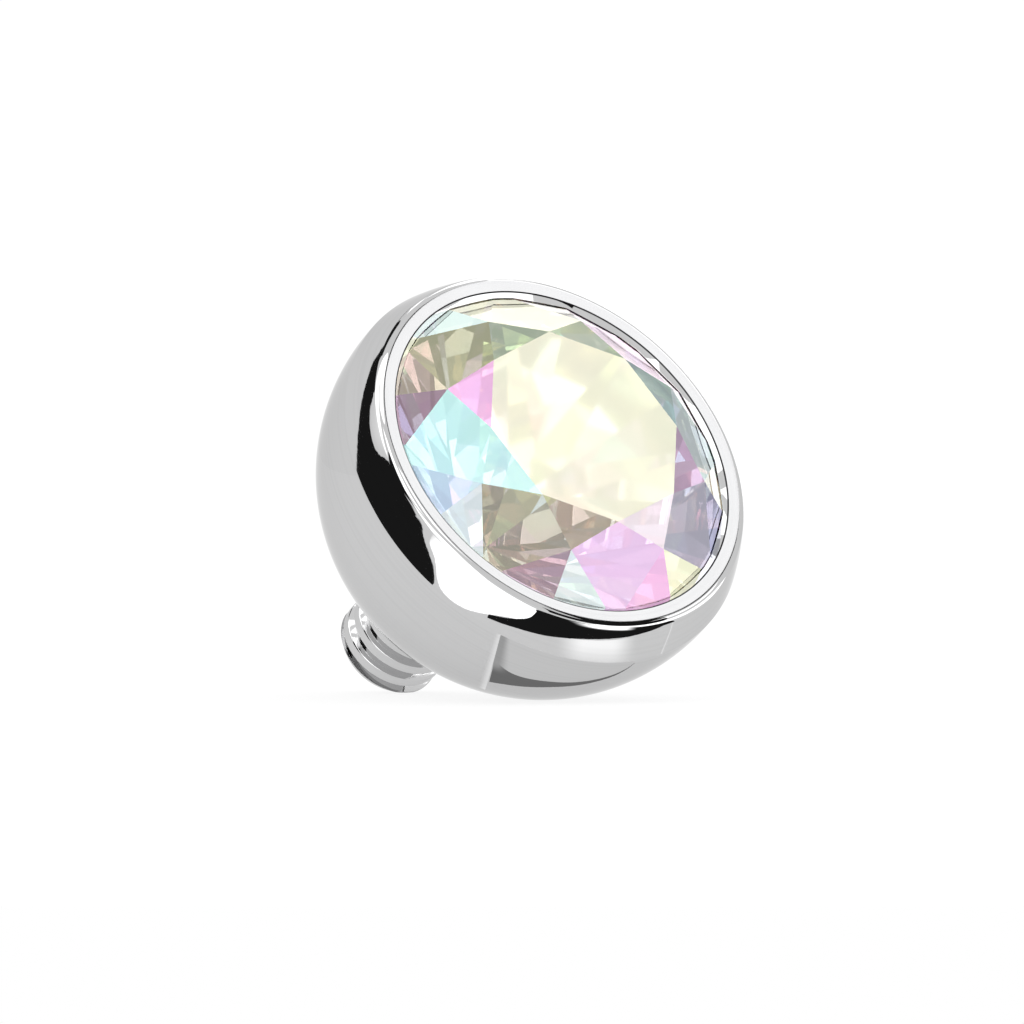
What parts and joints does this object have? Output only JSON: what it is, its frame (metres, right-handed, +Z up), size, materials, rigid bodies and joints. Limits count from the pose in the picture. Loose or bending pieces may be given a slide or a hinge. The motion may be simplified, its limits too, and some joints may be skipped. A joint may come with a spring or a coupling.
{
  "type": "threaded gem ball",
  "caption": "Polished steel ball with a round brilliant set in its open front and a short threaded post at its flat back, for screwing into a body bar.",
  "frame": {"origin": "on the surface that the ball lies on, below the middle of its bounding box", "axes": "+Z up, +X across the ball, and -Y the side that the stone faces; the axis of the post and stone is tilted 34 degrees from level"},
  "size_m": [0.005, 0.005, 0.0047],
  "materials": {
    "polished_steel": "mirror-polished surgical steel",
    "turned_steel": "bright turned thread with a polished round tip",
    "iridescent_crystal": "faceted crystal with an iridescent coating that shows pastel colours"
  },
  "bodies": {
    "root": {"bezel_cup": "polished_steel", "threaded_post": "turned_steel", "crystal": "iridescent_crystal"}
  },
  "joints": []
}
